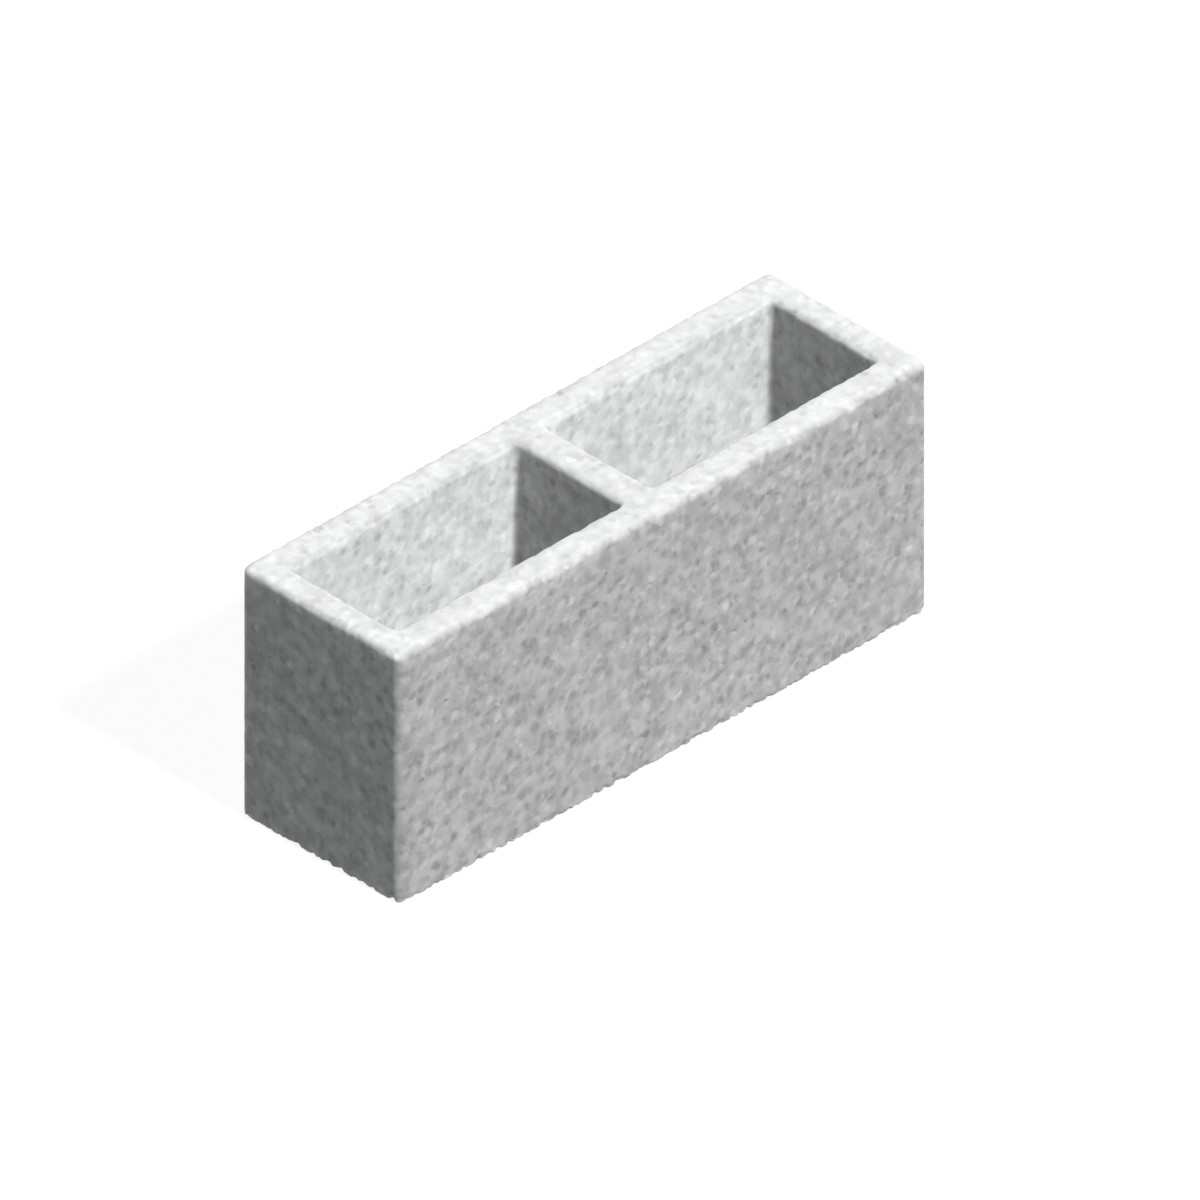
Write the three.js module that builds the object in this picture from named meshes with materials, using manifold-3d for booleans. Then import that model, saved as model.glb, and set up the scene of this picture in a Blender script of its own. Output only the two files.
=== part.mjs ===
// Hollow concrete masonry block: one cast piece with two open cells.
// Millimetres. Length along X, width along Y, +Z up.
// The origin is the middle of the bottom bed, the face that is laid on mortar.

import * as THREE from 'three';
import { mergeVertices } from 'three/addons/utils/BufferGeometryUtils.js';
import Module from 'manifold-3d';

// Overall size: a 500 x 200 mm coursing module, less one 10 mm joint in the length.
const LENGTH = 490;
const WIDTH = 150;
const HEIGHT = 200;

// Walls at the top bed, where they are thickest.
const FACE_SHELL = 25;
const END_WALL = 22;
const WEB = 26;
const CELL_COUNT = 2;

// The cores that form the cells are drawn out downwards, so each wall face
// stands back by this much at the bottom bed.
const CORE_DRAFT = 2;

// Rounded edges: the upright ones, then the level ones at each bed.
const END_ARRIS_RADIUS = 6;
const CELL_CORNER_RADIUS = 4;
const TOP_ARRIS_RADIUS = 5;
const MOUTH_RADIUS = 4.5;
const BOTTOM_ARRIS_RADIUS = 1.5;
const FOOT_RADIUS = 1.5;

// Number of flat strips in each quarter round.
const CORNER_STEPS = 8;
const EDGE_STEPS = 5;

// How far the cores stand out of both beds, so that they cut right through.
const CORE_OVERRUN = 5;

const CONCRETE = new THREE.MeshStandardMaterial({
  color: new THREE.Color(0.55, 0.55, 0.54),
  roughness: 0.9,
  metalness: 0,
});

// The corners of a rectangle centred on the origin, each turned into a quarter round.
function roundedRectangle(length, width, radius) {
  const points = [];
  const quarter = Math.PI / 2;
  for (let corner = 0; corner < 4; corner += 1) {
    const middle = (corner + 0.5) * quarter;
    const centreX = Math.sign(Math.cos(middle)) * (length / 2 - radius);
    const centreY = Math.sign(Math.sin(middle)) * (width / 2 - radius);
    for (let step = 0; step <= CORNER_STEPS; step += 1) {
      const angle = (corner + step / CORNER_STEPS) * quarter;
      points.push(new THREE.Vector2(
        centreX + radius * Math.cos(angle),
        centreY + radius * Math.sin(angle),
      ));
    }
  }
  return points;
}

// A closed solid through level outlines of equal point counts, listed from the lowest up.
function loft(sections) {
  const sides = sections[0].outline.length;
  const positions = [];
  const indices = [];
  for (const { outline, z } of sections) {
    for (const point of outline) {
      positions.push(point.x, point.y, z);
    }
  }
  for (let level = 0; level < sections.length - 1; level += 1) {
    for (let side = 0; side < sides; side += 1) {
      const next = (side + 1) % sides;
      const low = level * sides;
      const high = low + sides;
      indices.push(low + side, low + next, high + next);
      indices.push(low + side, high + next, high + side);
    }
  }
  const top = (sections.length - 1) * sides;
  const bottomFaces = THREE.ShapeUtils.triangulateShape(sections[0].outline, []);
  const topFaces = THREE.ShapeUtils.triangulateShape(sections.at(-1).outline, []);
  for (const [a, b, c] of bottomFaces) {
    indices.push(c, b, a);
  }
  for (const [a, b, c] of topFaces) {
    indices.push(top + a, top + b, top + c);
  }
  const geometry = new THREE.BufferGeometry();
  geometry.setAttribute('position', new THREE.Float32BufferAttribute(positions, 3));
  geometry.setIndex(indices);
  return geometry;
}

// A quarter round from a bed to an upright face, as steps that start on the bed: how high
// each one stands off the bed, and how far it stands back from the face.
function quarterRound(radius) {
  return Array.from({ length: EDGE_STEPS + 1 }, (_, step) => {
    const angle = (step / EDGE_STEPS) * (Math.PI / 2);
    return { rise: radius * (1 - Math.cos(angle)), back: radius * (1 - Math.sin(angle)) };
  });
}

// The uncut block, a loft whose arrises are rounded inside the overall size.
function blockBody() {
  function section(z, inset) {
    return { outline: roundedRectangle(LENGTH - 2 * inset, WIDTH - 2 * inset, END_ARRIS_RADIUS), z };
  }

  const bottom = quarterRound(BOTTOM_ARRIS_RADIUS).map(({ rise, back }) => section(rise, back));
  const top = quarterRound(TOP_ARRIS_RADIUS).map(({ rise, back }) => section(HEIGHT - rise, back));
  return loft([...bottom, ...top.reverse()]);
}

// One cell between its walls: a tapered loft with rounded corners, which flares
// in a quarter round to the face of each bed and then runs straight out of it.
function cellCore() {
  const cellLength = (LENGTH - 2 * END_WALL - (CELL_COUNT - 1) * WEB) / CELL_COUNT;
  const cellWidth = WIDTH - 2 * FACE_SHELL;

  function section(z, flare) {
    const level = THREE.MathUtils.clamp(z / HEIGHT, 0, 1);
    const setBack = flare + CORE_DRAFT * (1 - level);
    const outline = roundedRectangle(
      cellLength + 2 * setBack,
      cellWidth + 2 * setBack,
      CELL_CORNER_RADIUS + setBack,
    );
    return { outline, z };
  }

  const foot = quarterRound(FOOT_RADIUS).map(({ rise, back }) => section(rise, back));
  const mouth = quarterRound(MOUTH_RADIUS).map(({ rise, back }) => section(HEIGHT - rise, back));
  return loft([
    section(-CORE_OVERRUN, FOOT_RADIUS),
    ...foot,
    ...mouth.reverse(),
    section(HEIGHT + CORE_OVERRUN, MOUTH_RADIUS),
  ]);
}

// The middle of each cell along X, one wall and one cell apart.
function cellCentres() {
  const pitch = (LENGTH - 2 * END_WALL + WEB) / CELL_COUNT;
  return Array.from({ length: CELL_COUNT }, (_, cell) => (cell - (CELL_COUNT - 1) / 2) * pitch);
}

const wasm = await Module();
wasm.setup();

function toSolid(geometry) {
  const bare = geometry.clone();
  bare.deleteAttribute('normal');
  bare.deleteAttribute('uv');
  const merged = mergeVertices(bare);
  return new wasm.Manifold(new wasm.Mesh({
    numProp: 3,
    vertProperties: Float32Array.from(merged.attributes.position.array),
    triVerts: Uint32Array.from(merged.index.array),
  }));
}

function toGeometry(solid) {
  const mesh = solid.getMesh();
  const geometry = new THREE.BufferGeometry();
  geometry.setAttribute('position', new THREE.BufferAttribute(mesh.vertProperties, 3));
  geometry.setIndex(new THREE.BufferAttribute(mesh.triVerts, 1));
  geometry.computeVertexNormals();
  return geometry;
}

function hollowBlock() {
  let block = toSolid(blockBody());
  for (const centre of cellCentres()) {
    block = block.subtract(toSolid(cellCore().translate(centre, 0, 0)));
  }
  const mesh = new THREE.Mesh(toGeometry(block), CONCRETE);
  mesh.name = 'hollow_block';
  return mesh;
}

const part = new THREE.Group();
part.add(hollowBlock());

export default part;
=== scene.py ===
"""The looks of a hollow concrete block: its cast surface, a pale floor, studio light, a camera.

Everything is in metres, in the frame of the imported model: length along X, width along Y, +Z up.
"""

import math
from collections import namedtuple

import bpy
import numpy as np
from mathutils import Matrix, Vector, noise
from mathutils.geometry import delaunay_2d_cdt
from mathutils.kdtree import KDTree


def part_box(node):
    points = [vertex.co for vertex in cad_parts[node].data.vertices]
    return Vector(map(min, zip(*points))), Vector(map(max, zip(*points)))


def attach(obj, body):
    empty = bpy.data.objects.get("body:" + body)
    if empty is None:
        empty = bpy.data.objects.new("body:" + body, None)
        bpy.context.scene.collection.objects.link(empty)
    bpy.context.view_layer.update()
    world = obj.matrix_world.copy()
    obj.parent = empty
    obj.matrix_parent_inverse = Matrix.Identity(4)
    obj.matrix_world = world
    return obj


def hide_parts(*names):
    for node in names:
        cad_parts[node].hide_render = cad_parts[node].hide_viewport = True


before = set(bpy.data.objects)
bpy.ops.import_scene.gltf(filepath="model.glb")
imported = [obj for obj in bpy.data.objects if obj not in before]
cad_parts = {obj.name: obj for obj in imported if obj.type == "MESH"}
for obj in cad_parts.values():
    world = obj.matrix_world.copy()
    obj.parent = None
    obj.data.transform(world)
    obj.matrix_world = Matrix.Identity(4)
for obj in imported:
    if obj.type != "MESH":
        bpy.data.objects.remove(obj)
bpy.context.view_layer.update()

NODE = "hollow_block"
LOW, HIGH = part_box(NODE)
LENGTH, WIDTH, HEIGHT = HIGH - LOW
MM = 0.001
QUARTER = math.pi / 2

# Walls at the top bed, and how far the faces of the cells stand back at the bottom bed.
FACE_SHELL = 25 * MM
END_WALL = 22 * MM
WEB = 26 * MM
CORE_DRAFT = 2 * MM

# Rounded edges: the upright ones, then the level ones at each bed.
END_ARRIS_RADIUS = 6 * MM
CELL_CORNER_RADIUS = 4 * MM
TOP_ARRIS_RADIUS = 5 * MM
MOUTH_RADIUS = 4.5 * MM
BOTTOM_ARRIS_RADIUS = 1.5 * MM
FOOT_RADIUS = 1.5 * MM

CELL_LENGTH = (LENGTH - 2 * END_WALL - WEB) / 2
CELL_WIDTH = WIDTH - 2 * FACE_SHELL
CELL_CENTRES = [side * (CELL_LENGTH + WEB) / 2 for side in (-1, 1)]

# Distance between mesh points: along and up the outside and the cells, on the beds, and round the
# arrises.
FACE_PITCH = 1.8 * MM, 2.6 * MM
CELL_PITCH = 3.4 * MM, 3.4 * MM
BED_PITCH = 2.4 * MM
ARRIS_PITCH = 1.8 * MM
FEWEST_ARRIS_STEPS = 3

# How much the rows up a wall crowd towards the beds, from 0, not at all, to 1.
EDGE_GATHER = 0.35

# The points on the beds: the seed of how they stray from an even lattice, how far they do, the
# least distance to a wall, and the distance at which the triangulation takes two points for one.
LATTICE_SEED = 7
LATTICE_JITTER = 0.35 * MM
LATTICE_CLEARANCE = 1.3 * MM
CDT_TOLERANCE = 1e-7

# The first and the last row of a wall, and the height of the bed that each one bounds.
BOTTOM_ROW = 0
TOP_ROW = -1
BED_HEIGHTS = {BOTTOM_ROW: 0.0, TOP_ROW: HEIGHT}

# What a point is on: the outside, a cell, counted from 1, or a bed.
OUTSIDE = 0
ON_BED = -1

# The grain of the cast faces. All relief is pressed into the concrete.
GRAIN_DEPTH = 0.25 * MM
GRAIN_SIZE = 7 * MM
GRAIN_OCTAVES = 2

# Octaves of the noise: how fast they weaken, as an exponent, and how many times finer each one is.
NOISE_FADE = 0.5
NOISE_GAP = 2.0

# Crumbled arrises: the depth at each bed, how far from the edge it ends, and the size of its lumps.
# The share of that depth that is lost follows the noise: its middle, its swing and its limit.
TOP_CRUMBLE = 0.8 * MM
BOTTOM_CRUMBLE = 1.9 * MM
CRUMBLE_REACH = 5.5 * MM
CRUMBLE_SIZE = 5 * MM
CRUMBLE_SHARE = 0.35
CRUMBLE_SWING = 1.5
CRUMBLE_LIMIT = 1.2

# Rounds in which the directions of the relief are evened out, so that it doesn't fold at an arris.
EASE_ROUNDS = 24

# Pits: their seed, their number, and the least and the most radius. The depth is a share of it.
PIT_SEED = 11
PIT_COUNT = 500
PIT_RADIUS = (2.6 * MM, 4.5 * MM)
PIT_DEPTH_SHARE = (0.06, 0.14)

# Share of light that the concrete gives back: on its outer faces, on its beds, and inside its
# cells. The beds are a little lighter and the cells much lighter than the outer faces, as painted
# light.
FACE_ALBEDO = 0.46
BED_ALBEDO_WITH_PAINTED_LIGHT = 0.56
CELL_ALBEDO_WITH_PAINTED_LIGHT = 0.71

# The end faces of the cells get painted shade, darker down to this depth. By the lean, they are
# darker towards the back and lighter towards the front. The corners of the cells get painted
# shade as well.
CELL_END_ALBEDO_WITH_PAINTED_SHADE = 0.60
CELL_END_DEPTH = 50 * MM
CELL_END_SHADE_LEAN = 0.3
CELL_CORNER_PAINTED_SHADE = 0.14

# How level a surface is where the tone of the beds begins and where it is full, and the same for
# their speckle and green. The outside fades into the lighter tone of the beds over the lip, below
# the top, as painted light along the top edge.
BED_TONE_TURN = (0.1, 0.7)
BED_GRAIN_TURN = (0.5, 0.9)
TOP_LIP_PAINTED_LIGHT_REACH = 15 * MM

# Painted shade: on the beds beside the mouths, on the front and the back beside the left end, and
# on the roundings that face the front and up. Then painted light: along the bottom edge of the
# outside, against the shade of its crumbled foot, and on the roundings of the mouths that face
# right or back and up.
MOUTH_PAINTED_SHADE = 0.06
MOUTH_SHADE_REACH = 12 * MM
END_PAINTED_SHADE = 0.14
END_SHADE_REACH = 28 * MM
FRONT_EDGE_PAINTED_SHADE = 0.14
BOTTOM_EDGE_PAINTED_LIGHT = 0.20
BOTTOM_EDGE_LIGHT_REACH = 9 * MM
MOUTH_PAINTED_LIGHT = 0.15

# How strongly the mottle, the grains and the voids stand out in tone: on the outer faces, on the
# long and the end faces of the cells, and on the beds.
FACE_SPECKLE = 0.88
CELL_SPECKLE = 0.72
CELL_END_SPECKLE = 0.8
BED_SPECKLE = 0.5

# Red, green and blue of the greenest grey, on the ends, and how much of it the beds and the cells
# have. The front and the back are plain grey.
END_TINT = (0.977, 1.020, 1.004)
INNER_GREEN = 0.2

# Round spots scattered through the concrete: about how far apart they lie, the radius of the
# smallest and of the largest, the share of them that is as small as the smallest, how far their
# edges fade to each side, and how far the pattern is moved, to keep it apart from the others. A
# radius below 0 leaves only a trace of a spot.
Spots = namedtuple("Spots", "spacing smallest largest small_share softness shift")
COARSE_GRAINS = Spots(9 * MM, 1.8 * MM, 5.1 * MM, 0.0, 1.3 * MM, 0.3)
MEDIUM_GRAINS = Spots(6.5 * MM, 1.4 * MM, 3.8 * MM, 0.0, 1.2 * MM, 0.1)
FINE_GRAINS = Spots(4 * MM, 1.0 * MM, 2.4 * MM, 0.0, 0.9 * MM, 0.0)
VOIDS = Spots(7.5 * MM, -0.4 * MM, 3.0 * MM, 0.2, 0.9 * MM, 0.2)

# How much lighter or darker a grain can be than the paste round it.
GRAIN_TONES = {COARSE_GRAINS: 0.16, MEDIUM_GRAINS: 0.23, FINE_GRAINS: 0.06}

# How far noise bends the round outlines of the spots, and the size of its lumps.
BEND = 2.5 * MM
BEND_SIZE = 6 * MM

# Smooth noise: the size of its lumps, how many finer octaves it has, the level from 0 to 1 that
# gives the least value, with the most at 1 minus that, and the two values.
Lumps = namedtuple("Lumps", "size detail low least most")
CLOUDS = Lumps(50 * MM, 2, 0.3, -0.03, 0.03)
PATCHES = Lumps(15 * MM, 0, 0.25, -0.07, 0.07)
BLOTCHES = Lumps(8 * MM, 0, 0.25, -0.12, 0.12)
SAND = Lumps(2 * MM, 1, 0.25, -0.03, 0.03)
GRIT = Lumps(2.2 * MM, 1, 0.2, 0.0, 0.04)
ROUGHNESS = Lumps(6 * MM, 2, 0.3, 0.86, 0.96)

# The paste's tone, as a multiple of the share of light given back, and the painted shade that a
# void and a pit add.
PASTE_TONE = 1.02
VOID_PAINTED_SHADE = -0.15
PIT_PAINTED_SHADE = -0.10

# Relief too fine for the mesh: its strength, its depth, and the shares of grains and voids in it.
BUMP_STRENGTH = 0.8
BUMP_DEPTH = 0.8 * MM
GRAIN_RELIEF = 0.3
VOID_RELIEF = -0.2

# How glossy the concrete is, where 0.5 is usual.
SPECULAR_LEVEL = 0.3

# The view, in pixels of the square frame: where the block's origin lands, and the scale.
FRAME_PIXELS = 1200
PIXELS_PER_METRE = 1513.3
ORIGIN_PIXEL = (584.2, 711.7)
VIEW_AZIMUTH = -44.54
VIEW_ELEVATION = 34.77
CAMERA_DISTANCE = 2.0

# Light: where each sun stands, its strength and its width in degrees. A strength of pi from a sun
# lights a face that looks straight at it as written, and so does a strength of 1 from the world.
WORLD_STRENGTH = 0.05
Sun = namedtuple("Sun", "towards strength width")
SUNS = {
    "key": Sun((0.01, -0.68, 0.73), 1.17 * math.pi, 5),
    "top": Sun((0, 0, 1), 0.58 * math.pi, 4),
    "left_fill": Sun((-1, 0, 0.02), 0.16 * math.pi, 2),
    "right_fill": Sun((1, 0, 0.02), 0.20 * math.pi, 2),
    "back_fill": Sun((0, 1, 0.02), 0.42 * math.pi, 2),
}

# The floor: its width, the share of it that shows as plain white, its paint, and the darker paint
# that stands in for it where it only lights the block.
FLOOR_SIZE = 12.0
FLOOR_GLOW = 0.9
FLOOR_PAINT = (0.9, 0.9, 0.9, 1)
FLOOR_BOUNCE = (0.13, 0.13, 0.13, 1)
WHITE = (1, 1, 1, 1)


# ---------------------------------------------------------------- numbers

def smooth_step(value):
    value = np.clip(value, 0.0, 1.0)
    return value * value * (3 - 2 * value)


def between(value, low, high):
    """0 up to low, 1 from high on, and a smooth rise from one to the other."""
    return smooth_step((value - low) / (high - low))


def near(distance, reach):
    """1 at no distance, falling smoothly to 0 at the reach."""
    return smooth_step(1 - distance / reach)


def blend(start, end, share):
    return start + (end - start) * share


def noise_at(points, size, octaves=1):
    """Smooth noise from about -1 to 1 at each point, with lumps of about this size."""
    return np.array([
        noise.fractal(Vector(point) / size, NOISE_FADE, NOISE_GAP, octaves) for point in points
    ])


# ---------------------------------------------------------------- plain block

def unit(angle):
    return np.array([math.cos(angle), math.sin(angle)])


def arris_steps(radius):
    return max(FEWEST_ARRIS_STEPS, round(radius * QUARTER / ARRIS_PITCH))


def outline(size, radius, side_steps, corner_steps):
    """Points round a rectangle with rounded corners, anticlockwise and centred on the origin."""
    points = []
    for turn, signs in enumerate(((1, 1), (-1, 1), (-1, -1), (1, -1))):
        centre = np.multiply(signs, size / 2 - radius)
        for step in range(corner_steps + 1):
            points.append(centre + radius * unit((turn + step / corner_steps) * QUARTER))
        start = points[-1]
        run = (size[turn % 2] - 2 * radius) * unit((turn + 2) * QUARTER)
        steps = side_steps[turn % 2]
        for step in range(1, steps):
            points.append(start + run * step / steps)
    return np.array(points)


def distance_outside(points, size, radius):
    """How far points lie outside a rounded rectangle round the origin. Inside, it is negative."""
    reach = np.abs(points) - (size / 2 - radius)
    outer = np.linalg.norm(np.maximum(reach, 0), axis=1)
    return outer + np.minimum(reach.max(axis=1), 0) - radius


def quarter_round(radius):
    """(how far it stands back from the wall, height off the bed) of each row, from the bed up."""
    steps = arris_steps(radius)
    angles = [step / steps * QUARTER for step in range(steps + 1)]
    return [(radius * (1 - math.sin(angle)), radius * (1 - math.cos(angle))) for angle in angles]


def wall_rows(foot_radius, head_radius, draft, pitch):
    """(how far the wall stands back, height) of each row up a wall, from bed to bed."""
    rise = HEIGHT - foot_radius - head_radius
    steps = round(rise / pitch)
    rows = quarter_round(foot_radius)
    for step in range(1, steps):
        level = step / steps
        level -= EDGE_GATHER * math.sin(level * 2 * math.pi) / (2 * math.pi)
        rows.append((0.0, foot_radius + rise * level))
    rows += [(back, HEIGHT - height) for back, height in reversed(quarter_round(head_radius))]
    return [(back + draft * (1 - z / HEIGHT), z) for back, z in rows]


class Wall:
    """One upright wall that closes on itself: the block's outside, or one of its cells.

    into_block is -1 where the outline shrinks as the wall stands back, and 1 where it grows.
    """

    def __init__(self, into_block, centre_x, size, radius, foot_radius, head_radius, draft, pitch):
        along, up = pitch
        self.into_block = into_block
        self.centre = np.array([centre_x, 0.0])
        self.size = np.array(size)
        self.radius = radius
        self.draft = draft
        self.rows = wall_rows(foot_radius, head_radius, draft, up)
        self.side_steps = [round(side / along) for side in size]
        self.corner_steps = arris_steps(radius)

    def shape(self, back):
        """Size and corner radius where the wall stands back by this much."""
        grow = self.into_block * back
        return self.size + 2 * grow, self.radius + max(grow, 0)

    def ring(self, row):
        """The points of one row, anticlockwise."""
        back, z = self.rows[row]
        flat = self.centre + outline(*self.shape(back), self.side_steps, self.corner_steps)
        return np.column_stack([flat, np.full(len(flat), z)])

    def away(self, points, back):
        """How far points lie from the wall, into the concrete, where it stands back this much."""
        return self.into_block * distance_outside(points[:, :2] - self.centre, *self.shape(back))


def block_walls():
    """The outside, and then the cells."""
    outside = Wall(
        into_block=-1, centre_x=0.0, size=(LENGTH, WIDTH), radius=END_ARRIS_RADIUS,
        foot_radius=BOTTOM_ARRIS_RADIUS, head_radius=TOP_ARRIS_RADIUS, draft=0.0, pitch=FACE_PITCH,
    )
    cells = [
        Wall(
            into_block=1, centre_x=x, size=(CELL_LENGTH, CELL_WIDTH), radius=CELL_CORNER_RADIUS,
            foot_radius=FOOT_RADIUS, head_radius=MOUTH_RADIUS, draft=CORE_DRAFT, pitch=CELL_PITCH,
        )
        for x in CELL_CENTRES
    ]
    return [outside, *cells]


def wall_faces(wall, rings):
    """The faces of a wall that point out of the concrete, from the point numbers of its rings."""
    for low, high in zip(rings, rings[1:]):
        for quad in zip(low, low[1:] + low[:1], high[1:] + high[:1], high):
            yield quad if wall.into_block < 0 else quad[::-1]


def lattice(walls, row, rng):
    """Points of an uneven triangular lattice on a bed, clear of every wall."""
    row_pitch = BED_PITCH * math.sin(math.radians(60))
    columns = math.ceil(LENGTH / BED_PITCH)
    rows = math.ceil(WIDTH / row_pitch)
    column, line = np.meshgrid(np.arange(columns), np.arange(rows))
    x = (column + line % 2 / 2 - columns / 2) * BED_PITCH
    y = (line - rows / 2) * row_pitch
    points = np.column_stack([x.ravel(), y.ravel()])
    points += rng.uniform(-LATTICE_JITTER, LATTICE_JITTER, points.shape)
    clear = np.min([wall.away(points, wall.rows[row][0]) for wall in walls], axis=0)
    return points[clear > LATTICE_CLEARANCE]


def bed_triangles(loops, inner):
    """Triangles between the first loop and the others, as numbers into the loops and then inner."""
    edges = []
    loop_of = []
    for index, loop in enumerate(loops):
        start = len(loop_of)
        edges += [(start + side, start + (side + 1) % len(loop)) for side in range(len(loop))]
        loop_of += [index] * len(loop)
    loop_of += [OUTSIDE] * len(inner)
    flat = [Vector(point) for point in np.concatenate([*loops, inner])]
    triangles, origins = delaunay_2d_cdt(flat, edges, [], 0, CDT_TOLERANCE)[2:4]
    for triangle in triangles:
        corners = [origins[corner][0] for corner in triangle]
        touched = {loop_of[corner] for corner in corners}
        in_a_cell = len(touched) == 1 and OUTSIDE not in touched
        if not in_a_cell:
            yield corners


class Surface:
    """The points and faces of a mesh in the making, and which wall each point is on."""

    def __init__(self):
        self.points = []
        self.wall_of = []
        self.faces = []

    def add_points(self, points, wall):
        """Adds points, and returns their numbers."""
        first = len(self.points)
        self.points += list(points)
        self.wall_of += [wall] * len(points)
        return list(range(first, len(self.points)))


def plain_block(walls):
    """The block with even, fine faces."""
    rng = np.random.default_rng(LATTICE_SEED)
    surface = Surface()
    rings_of = []
    for index, wall in enumerate(walls):
        rings = [surface.add_points(wall.ring(row), index) for row in range(len(wall.rows))]
        surface.faces += wall_faces(wall, rings)
        rings_of.append(rings)
    for row, z in BED_HEIGHTS.items():
        loops = [wall.ring(row)[:, :2] for wall in walls]
        inner = lattice(walls, row, rng)
        numbers = [number for rings in rings_of for number in rings[row]]
        numbers += surface.add_points([(x, y, z) for x, y in inner], ON_BED)
        for corners in bed_triangles(loops, inner):
            triangle = [numbers[corner] for corner in corners]
            surface.faces.append(triangle[::-1] if row == BOTTOM_ROW else triangle)
    return surface


# ---------------------------------------------------------------- relief

def edge_distance(points, walls):
    """How far each point lies from the nearest outer edge, mouth or foot."""
    to_bed = np.minimum(points[:, 2], HEIGHT - points[:, 2])
    to_wall = np.min([np.abs(wall.away(points, wall.draft / 2)) for wall in walls], axis=0)
    return np.maximum(to_bed, to_wall)


def pits(points):
    """Depth of the small hollows that coarse grains and trapped air leave, at each point."""
    rng = np.random.default_rng(PIT_SEED)
    tree = KDTree(len(points))
    for number, point in enumerate(points):
        tree.insert(point, number)
    tree.balance()
    depth = np.zeros(len(points))
    for centre in rng.integers(0, len(points), PIT_COUNT):
        radius = rng.uniform(*PIT_RADIUS)
        deepest = radius * rng.uniform(*PIT_DEPTH_SHARE)
        for _, number, distance in tree.find_range(points[centre], radius):
            hollow = deepest * (1 - (distance / radius) ** 2)
            depth[number] = max(depth[number], hollow)
    return depth


def vertex_normals(mesh):
    normals = np.empty(len(mesh.vertices) * 3, np.float32)
    mesh.vertex_normals.foreach_get("vector", normals)
    return normals.reshape(-1, 3)


def eased(mesh, directions):
    """Directions averaged with their neighbours' again and again, to turn slowly at an arris."""
    ends = np.empty(len(mesh.edges) * 2, np.int32)
    mesh.edges.foreach_get("vertices", ends)
    here, there = ends.reshape(-1, 2).T
    here, there = np.concatenate([here, there]), np.concatenate([there, here])
    for _ in range(EASE_ROUNDS):
        around = [np.bincount(here, directions[there, axis], len(directions)) for axis in range(3)]
        directions = directions + np.column_stack(around)
        directions /= np.linalg.norm(directions, axis=1)[:, None]
    return directions


def weathered(points, outwards, walls, pit_depth):
    """The points pushed into the concrete by its grain, its crumbled arrises and its pits."""
    grain = GRAIN_DEPTH * (1 + noise_at(points, GRAIN_SIZE, GRAIN_OCTAVES)) / 2
    crumble = blend(BOTTOM_CRUMBLE, TOP_CRUMBLE, points[:, 2] / HEIGHT)
    share = CRUMBLE_SHARE + CRUMBLE_SWING * noise_at(points, CRUMBLE_SIZE)
    crumble *= near(edge_distance(points, walls), CRUMBLE_REACH) * np.clip(share, 0, CRUMBLE_LIMIT)
    push = np.clip(grain, 0, None) + crumble + pit_depth
    return points - outwards * push[:, None]


# ---------------------------------------------------------------- tones of the points

def sloping(sideways, upwards):
    """From 0 on a flat face to 1 halfway round an edge, from this side up or its opposite down."""
    return np.clip(2 * sideways * upwards, 0, 1)


def cell_albedo_with_painted_light(points, facing):
    """Share of light that the faces of the cells give back at each point: painted light all over,
    with painted shade on their end faces, more towards the back, and in their corners.
    """
    on_end = smooth_step(facing[:, 0])
    depth = smooth_step((HEIGHT - points[:, 2]) / CELL_END_DEPTH)
    albedo_with_painted_light = blend(CELL_ALBEDO_WITH_PAINTED_LIGHT, CELL_END_ALBEDO_WITH_PAINTED_SHADE, on_end * depth)
    albedo_with_painted_light *= 1 - CELL_END_SHADE_LEAN * on_end * points[:, 1] / (WIDTH / 2)
    return albedo_with_painted_light * (1 - CELL_CORNER_PAINTED_SHADE * 2 * facing[:, 0] * facing[:, 1])


def albedo_with_painted_light_at(points, normals, walls, wall_of):
    """Share of light that the concrete gives back at each point, painted light and shade included.
    """
    facing = np.abs(normals)
    outside = wall_of == OUTSIDE
    in_cell = wall_of > OUTSIDE
    # The faces of the cells carry painted light, with painted shade on their ends and in their
    # corners.
    upright = np.where(in_cell, cell_albedo_with_painted_light(points, facing), FACE_ALBEDO)
    # The beds' lighter tone is painted light, and over the lip it reaches down the outside.
    bed = between(facing[:, 2], *BED_TONE_TURN)
    painted_light_lip = outside * near(HEIGHT - points[:, 2], TOP_LIP_PAINTED_LIGHT_REACH)
    albedo_with_painted_light = blend(upright, BED_ALBEDO_WITH_PAINTED_LIGHT, np.maximum(bed, painted_light_lip))
    # Painted shade on the beds beside the mouths.
    to_cell = np.min([wall.away(points, 0.0) for wall in walls[1:]], axis=0)
    albedo_with_painted_light *= 1 - MOUTH_PAINTED_SHADE * facing[:, 2] * near(to_cell, MOUTH_SHADE_REACH)
    # Painted shade on the front and the back beside the left end.
    to_left_end = LENGTH / 2 + points[:, 0]
    albedo_with_painted_light *= 1 - END_PAINTED_SHADE * outside * facing[:, 1] * near(to_left_end, END_SHADE_REACH)
    # Painted light on the roundings of the mouths that face right or back and up.
    albedo_with_painted_light *= 1 + MOUTH_PAINTED_LIGHT * in_cell * sloping(normals[:, 0] + normals[:, 1], normals[:, 2])
    # Painted light along the bottom edge of the outside, against the shade of its crumbled foot.
    albedo_with_painted_light *= 1 + BOTTOM_EDGE_PAINTED_LIGHT * outside * near(points[:, 2], BOTTOM_EDGE_LIGHT_REACH)
    # Painted shade on the roundings that face the front and up.
    return albedo_with_painted_light * (1 - FRONT_EDGE_PAINTED_SHADE * sloping(-normals[:, 1], normals[:, 2]))


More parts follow.
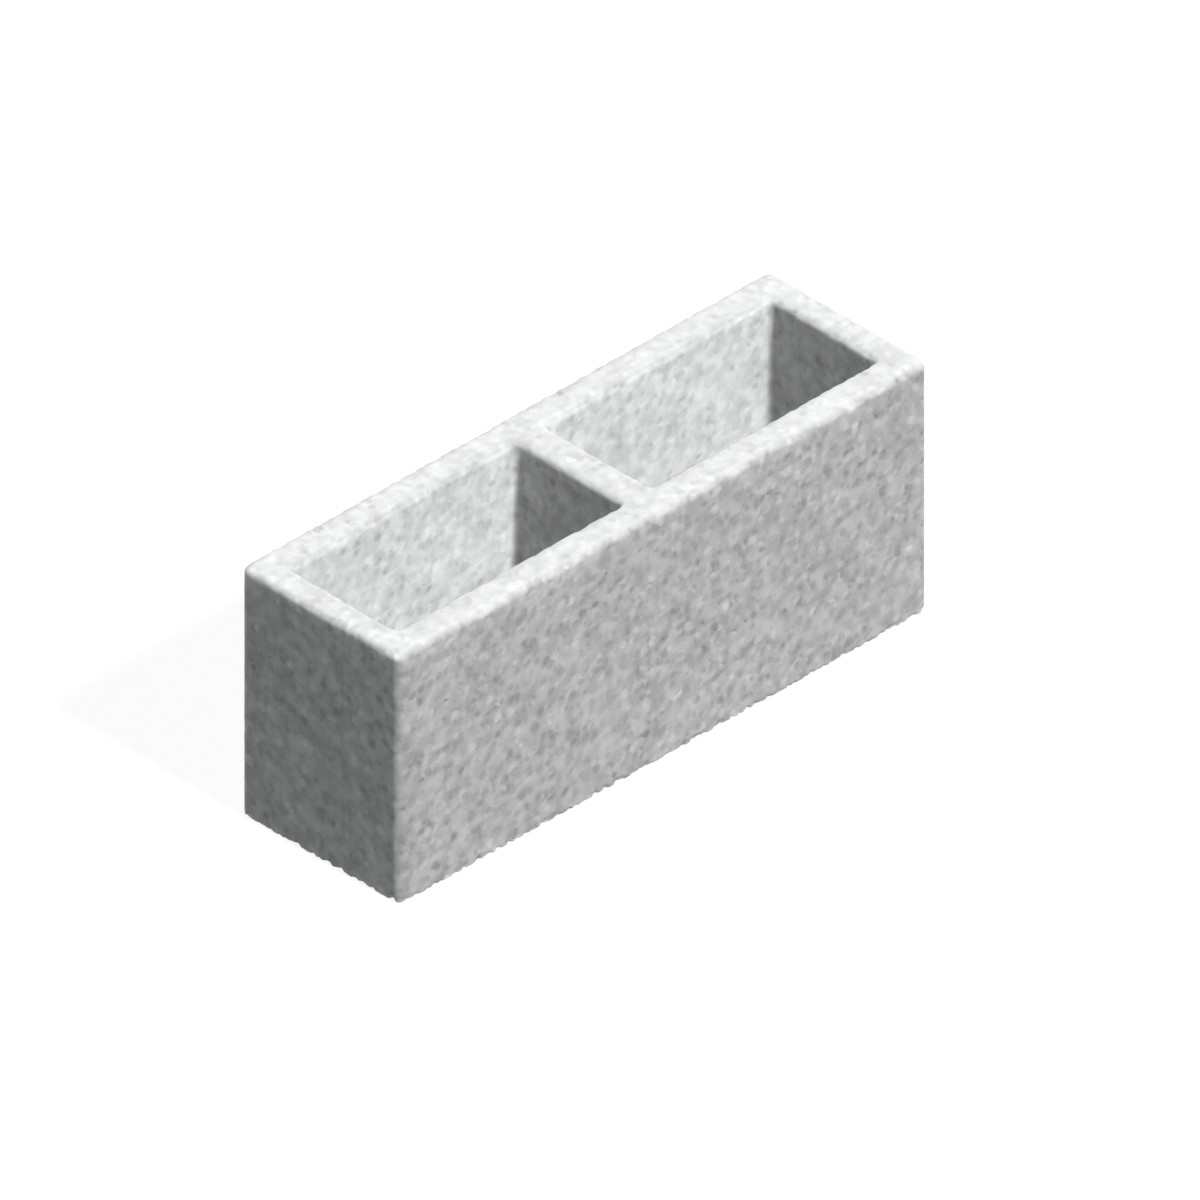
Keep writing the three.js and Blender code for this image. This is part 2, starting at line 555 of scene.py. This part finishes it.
def speckle_at(normals, wall_of):
    """How strongly the grains stand out in tone at each point."""
    facing = np.abs(normals)
    in_cell = blend(CELL_SPECKLE, CELL_END_SPECKLE, smooth_step(facing[:, 0]))
    upright = np.where(wall_of > OUTSIDE, in_cell, FACE_SPECKLE)
    return blend(upright, BED_SPECKLE, between(facing[:, 2], *BED_GRAIN_TURN))


def green_at(normals, wall_of):
    """How much of the ends' greener grey each point has."""
    facing = np.abs(normals)
    upright = np.where(wall_of > OUTSIDE, INNER_GREEN, smooth_step(facing[:, 0]))
    return blend(upright, INNER_GREEN, between(facing[:, 2], *BED_GRAIN_TURN))


def add_values(mesh, name, values):
    mesh.attributes.new(name, "FLOAT", "POINT").data.foreach_set("value", values.astype(np.float32))


def cast_block():
    """The block as one closed mesh, which carries the tones of its concrete, with painted light and
    shade, point by point.
    """
    walls = block_walls()
    surface = plain_block(walls)
    points = np.array(surface.points)
    wall_of = np.array(surface.wall_of)
    mesh = bpy.data.meshes.new("hollow_block_cast")
    mesh.from_pydata([tuple(point) for point in points], [], surface.faces)
    mesh.update()
    normals = vertex_normals(mesh)
    pit_depth = pits(points)
    points = weathered(points, eased(mesh, normals), walls, pit_depth)
    mesh.vertices.foreach_set("co", points.astype(np.float32).ravel())
    add_values(mesh, "albedo_with_painted_light", albedo_with_painted_light_at(points, normals, walls, wall_of))
    add_values(mesh, "speckle", speckle_at(normals, wall_of))
    add_values(mesh, "green", green_at(normals, wall_of))
    add_values(mesh, "pit", pit_depth / pit_depth.max())
    mesh.shade_smooth()
    mesh.update()
    block = bpy.data.objects.new("hollow_block_cast", mesh)
    bpy.context.scene.collection.objects.link(block)
    return block


# ---------------------------------------------------------------- materials

class Nodes:
    """Short calls for building a node tree."""

    def __init__(self, tree):
        self.tree = tree
        tree.nodes.clear()

    def add(self, kind, inputs=(), **settings):
        node = self.tree.nodes.new(kind)
        for name, value in settings.items():
            setattr(node, name, value)
        for name, value in dict(inputs).items():
            if isinstance(value, bpy.types.NodeSocket):
                self.tree.links.new(value, node.inputs[name])
            else:
                node.inputs[name].default_value = value
        return node

    def attribute(self, name):
        """The value that the mesh carries under this name."""
        return self.add("ShaderNodeAttribute", attribute_name=name).outputs["Fac"]

    def math(self, operation, *values):
        return self.add("ShaderNodeMath", enumerate(values), operation=operation).outputs[0]

    def vector_math(self, operation, *values):
        return self.add("ShaderNodeVectorMath", enumerate(values), operation=operation).outputs[0]

    def sum(self, *values):
        total = values[0]
        for value in values[1:]:
            total = self.math("ADD", total, value)
        return total

    def spread(self, value, low, high, to_low=0.0, to_high=1.0):
        """Maps low to high smoothly onto to_low to to_high, and holds it there."""
        inputs = {0: value, 1: low, 2: high, 3: to_low, 4: to_high}
        return self.add("ShaderNodeMapRange", inputs, interpolation_type="SMOOTHSTEP").outputs[0]

    def noise(self, place, size, detail):
        inputs = {"Vector": place, "Scale": 1 / size, "Detail": detail}
        return self.add("ShaderNodeTexNoise", inputs).outputs

    def cells(self, place, size):
        """Distance to the nearest of many scattered points, and three random numbers for it."""
        cells = self.add("ShaderNodeTexVoronoi", {"Vector": place, "Scale": 1 / size}).outputs
        distance = self.math("MULTIPLY", cells["Distance"], size)
        return distance, self.add("ShaderNodeSeparateColor", {0: cells["Color"]}).outputs


def lumps(nodes, place, kind):
    """Smooth noise of this kind."""
    level = nodes.noise(place, kind.size, kind.detail)["Fac"]
    return nodes.spread(level, kind.low, 1 - kind.low, kind.least, kind.most)


def bent(nodes, place):
    """The place, shifted unevenly, so that round outlines turn out irregular."""
    stray = nodes.noise(place, BEND_SIZE, 0)["Color"]
    return nodes.vector_math("MULTIPLY_ADD", stray, (BEND, BEND, BEND), place)


def spots(nodes, place, kind):
    """1 inside spots of this kind and 0 between them, and a random number for each spot."""
    shifted = nodes.vector_math("ADD", place, (kind.shift, kind.shift, kind.shift))
    distance, random = nodes.cells(shifted, kind.spacing)
    radius = nodes.spread(random[0], kind.small_share, 1.0, kind.smallest, kind.largest)
    inside = nodes.math("SUBTRACT", radius, distance)
    return nodes.spread(inside, -kind.softness, kind.softness), random[1]


def grains(nodes, place, kind, most):
    """Grains of this kind, each with a tone of its own, darker or lighter than the paste."""
    body, random = spots(nodes, place, kind)
    tone = nodes.math("MULTIPLY_ADD", random, 2 * most, -most)
    return nodes.math("MULTIPLY", body, tone)


def concrete_colour(nodes, place, grain, void):
    """Mottled grey with grains, painted shade in voids and pits, and the tones the mesh carries."""
    tone = nodes.sum(
        lumps(nodes, place, CLOUDS),
        lumps(nodes, place, PATCHES),
        lumps(nodes, place, BLOTCHES),
        grain,
        lumps(nodes, place, SAND),
        # painted shade in the voids and in the pits
        nodes.math("MULTIPLY", void, VOID_PAINTED_SHADE),
        nodes.math("MULTIPLY", nodes.attribute("pit"), PIT_PAINTED_SHADE),
    )
    tone = nodes.math("MULTIPLY_ADD", tone, nodes.attribute("speckle"), PASTE_TONE)
    level = nodes.math("MULTIPLY", tone, nodes.attribute("albedo_with_painted_light"))
    green = nodes.attribute("green")
    tints = [nodes.math("MULTIPLY_ADD", green, tint - 1, 1.0) for tint in END_TINT]
    channels = [nodes.math("MULTIPLY", level, tint) for tint in tints]
    return nodes.add("ShaderNodeCombineColor", enumerate(channels)).outputs[0]


def concrete_bump(nodes, place, grain, void):
    """A gritty surface, with pale grains raised, and dark grains and voids sunk."""
    height = nodes.sum(
        nodes.math("MULTIPLY", grain, GRAIN_RELIEF),
        lumps(nodes, place, GRIT),
        nodes.math("MULTIPLY", void, VOID_RELIEF),
    )
    inputs = {"Height": height, "Strength": BUMP_STRENGTH, "Distance": BUMP_DEPTH}
    return nodes.add("ShaderNodeBump", inputs).outputs["Normal"]


def concrete():
    """Pale grey concrete: sand and small stones in cement paste, with fine voids between them."""
    material = bpy.data.materials.new("cast_concrete")
    material.use_nodes = True
    nodes = Nodes(material.node_tree)
    place = nodes.add("ShaderNodeTexCoord").outputs["Object"]
    uneven = bent(nodes, place)
    grain = nodes.sum(*[grains(nodes, uneven, kind, most) for kind, most in GRAIN_TONES.items()])
    void, _ = spots(nodes, uneven, VOIDS)
    shader = nodes.add("ShaderNodeBsdfPrincipled", {
        "Base Color": concrete_colour(nodes, place, grain, void),
        "Roughness": lumps(nodes, place, ROUGHNESS),
        "Specular IOR Level": SPECULAR_LEVEL,
        "Normal": concrete_bump(nodes, place, grain, void),
    })
    nodes.add("ShaderNodeOutputMaterial", {"Surface": shader.outputs["BSDF"]})
    return material


def seen_directly(nodes):
    """1 where the camera, a mirror or glass sees it, and 0 where it only lights the block."""
    path = nodes.add("ShaderNodeLightPath").outputs
    seen = nodes.math("MAXIMUM", path["Is Camera Ray"], path["Is Glossy Ray"])
    return nodes.math("MAXIMUM", seen, path["Is Transmission Ray"])


def floor_paint():
    """Nearly white where it is seen, with the block's shadow, and darker where it only lights."""
    material = bpy.data.materials.new("pale_floor")
    material.use_nodes = True
    nodes = Nodes(material.node_tree)
    lit = nodes.add("ShaderNodeBsdfDiffuse", {"Color": FLOOR_PAINT}).outputs[0]
    glow = nodes.add("ShaderNodeEmission", {"Color": WHITE, "Strength": 1.0}).outputs[0]
    shown = nodes.add("ShaderNodeMixShader", {0: FLOOR_GLOW, 1: lit, 2: glow}).outputs[0]
    bounce = nodes.add("ShaderNodeBsdfDiffuse", {"Color": FLOOR_BOUNCE}).outputs[0]
    mixed = nodes.add("ShaderNodeMixShader", {0: seen_directly(nodes), 1: bounce, 2: shown})
    nodes.add("ShaderNodeOutputMaterial", {"Surface": mixed.outputs[0]})
    return material


# ---------------------------------------------------------------- stage

def make_floor():
    mesh = bpy.data.meshes.new("floor")
    half = FLOOR_SIZE / 2
    corners = [(-half, -half, 0), (half, -half, 0), (half, half, 0), (-half, half, 0)]
    mesh.from_pydata(corners, [], [(0, 1, 2, 3)])
    mesh.materials.append(floor_paint())
    floor = bpy.data.objects.new("floor", mesh)
    bpy.context.scene.collection.objects.link(floor)


def make_world():
    """White where it is seen, and dim where it only lights."""
    world = bpy.data.worlds.new("studio")
    world.use_nodes = True
    nodes = Nodes(world.node_tree)
    white = nodes.add("ShaderNodeBackground", {"Color": WHITE}).outputs[0]
    dim = {"Color": WHITE, "Strength": WORLD_STRENGTH}
    ambient = nodes.add("ShaderNodeBackground", dim).outputs[0]
    mixed = nodes.add("ShaderNodeMixShader", {0: seen_directly(nodes), 1: ambient, 2: white})
    nodes.add("ShaderNodeOutputWorld", {"Surface": mixed.outputs[0]})
    bpy.context.scene.world = world


def make_suns():
    for name, sun in SUNS.items():
        data = bpy.data.lights.new(name, "SUN")
        data.energy = sun.strength
        data.angle = math.radians(sun.width)
        lamp = bpy.data.objects.new(name, data)
        lamp.rotation_euler = Vector(sun.towards).to_track_quat("Z", "Y").to_euler()
        bpy.context.scene.collection.objects.link(lamp)


def make_camera():
    """A parallel view from the left, the front and above."""
    azimuth, elevation = math.radians(VIEW_AZIMUTH), math.radians(VIEW_ELEVATION)
    data = bpy.data.cameras.new("camera")
    data.type = "ORTHO"
    data.ortho_scale = FRAME_PIXELS / PIXELS_PER_METRE
    camera = bpy.data.objects.new("camera", data)
    camera.rotation_euler = (math.pi / 2 - elevation, 0, azimuth)
    right, up, back = camera.rotation_euler.to_matrix().transposed()
    centre = FRAME_PIXELS / 2
    aim = right * (centre - ORIGIN_PIXEL[0]) + up * (ORIGIN_PIXEL[1] - centre)
    camera.location = aim / PIXELS_PER_METRE + back * CAMERA_DISTANCE
    bpy.context.scene.collection.objects.link(camera)
    bpy.context.scene.camera = camera


block = cast_block()
block.data.materials.append(concrete())
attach(block, "root")
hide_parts(NODE)

make_floor()
make_world()
make_suns()
make_camera()
bpy.context.scene.view_settings.view_transform = "Standard"
